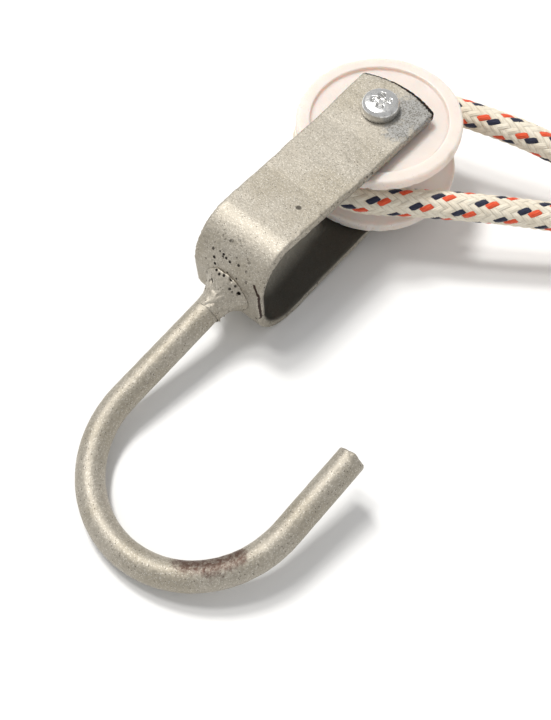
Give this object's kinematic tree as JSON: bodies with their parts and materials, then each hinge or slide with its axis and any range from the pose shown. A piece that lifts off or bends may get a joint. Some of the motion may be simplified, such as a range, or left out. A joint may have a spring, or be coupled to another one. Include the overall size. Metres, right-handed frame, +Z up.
{
  "type": "hook block pulley",
  "caption": "Hook block: nylon sheave in a bent-strap clevis on a welded round-bar hook, rove with a braided rope put away in a hank.",
  "frame": {"origin": "middle of the block's footprint on the surface it lies on, rope left out", "axes": "+Z up from that surface, +X along the block from the sheave to the hook, +Y towards the hook's open side"},
  "size_m": [0.4169, 0.1116, 0.0428],
  "materials": {
    "hammered_paint": "hammered silver paint, worn",
    "white_nylon": "moulded, satin",
    "turned_steel": "turned",
    "zinc_plate": "bright zinc",
    "lock_nylon": "plain",
    "rope_braid": "cream braid with navy and orange-red tracers",
    "tie_plastic": "plain"
  },
  "bodies": {
    "block": {"strap_clevis": "hammered_paint", "weld_bead": "hammered_paint", "hook_rod": "hammered_paint", "spacer_sleeve": "turned_steel", "axle_screw": "zinc_plate", "axle_nut": "zinc_plate", "nut_insert": "lock_nylon", "rope_run": "rope_braid", "rope_hank": "rope_braid", "hank_tie": "tie_plastic", "standing_end_knot": "rope_braid", "hauling_end_knot": "rope_braid"},
    "wheel": {"sheave": "white_nylon"}
  },
  "joints": [
    {"name": "sheave_spin", "type": "hinge", "parent": "block", "child": "wheel", "pos_m": [-0.06225, -0.0203, 0.02245], "axis": [0.0722, 0, 0.9974], "continuous": true}
  ]
}
